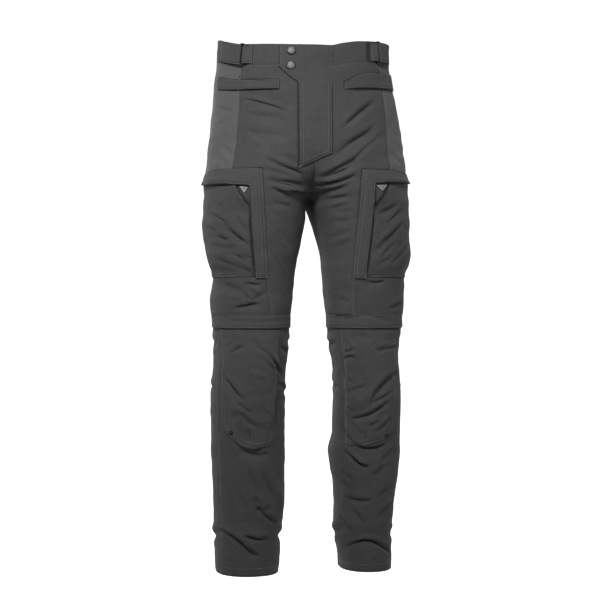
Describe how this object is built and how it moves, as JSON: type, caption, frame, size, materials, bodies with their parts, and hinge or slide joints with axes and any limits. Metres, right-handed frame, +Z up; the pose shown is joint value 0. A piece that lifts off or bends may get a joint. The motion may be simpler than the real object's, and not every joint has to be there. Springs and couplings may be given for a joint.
{
  "type": "motorcycle trousers",
  "caption": "Filled-out textile riding trousers with a snap fly, waist adjusters, bellows cargo pockets under L-shaped flaps, knee bands and stitched knee patches.",
  "frame": {"origin": "middle of the waist at half the waistband's height, where the wearer holds the trousers up", "axes": "+X to the wearer's left, +Y to the back, +Z up along the legs"},
  "size_m": [0.4097, 0.2829, 1.0477],
  "materials": {
    "shell_cloth": "matt black plain-weave polyamide with a fine canvas grain",
    "abrasion_cloth": "smoother dark grey side cloth with a slight sheen",
    "pocket_cloth": "matt black fine plain weave",
    "strap_cloth": "matt black folded cloth with topstitching",
    "light_cloth": "grey woven zip garage",
    "black_plastic": "moulded black, satin",
    "snap_metal": "gunmetal, satin, plain",
    "dark_metal": "blackened, satin"
  },
  "bodies": {
    "root": {"back_panel_left": "shell_cloth", "back_panel_right": "shell_cloth", "calf_back_left": "pocket_cloth", "calf_back_right": "pocket_cloth", "cargo_flap_left": "shell_cloth", "cargo_flap_right": "shell_cloth", "cargo_pocket_left": "pocket_cloth", "cargo_pocket_right": "pocket_cloth", "eyelet_left": "dark_metal", "eyelet_right": "dark_metal", "fly_flap": "shell_cloth", "front_panel_left": "shell_cloth", "front_panel_right": "shell_cloth", "hip_welt_left": "shell_cloth", "hip_welt_right": "shell_cloth", "knee_band_left": "shell_cloth", "knee_band_right": "shell_cloth", "knee_patch_left": "shell_cloth", "knee_patch_right": "shell_cloth", "ring_loop_left": "strap_cloth", "ring_loop_right": "strap_cloth", "shin_front_left": "pocket_cloth", "shin_front_right": "pocket_cloth", "shin_side_left": "pocket_cloth", "shin_side_right": "pocket_cloth", "side_panel_left": "abrasion_cloth", "side_panel_right": "abrasion_cloth", "snap_cap_lower": "snap_metal", "snap_cap_upper": "snap_metal", "snap_foot_lower": "dark_metal", "snap_foot_upper": "dark_metal", "thigh_side_left": "pocket_cloth", "thigh_side_right": "pocket_cloth", "waist_ring_left": "black_plastic", "waist_ring_right": "black_plastic", "waist_strap_left": "strap_cloth", "waist_strap_right": "strap_cloth", "waistband_back": "shell_cloth", "waistband_front_left": "shell_cloth", "waistband_front_right": "shell_cloth", "zip_garage_left": "light_cloth", "zip_garage_right": "light_cloth"}
  },
  "joints": []
}
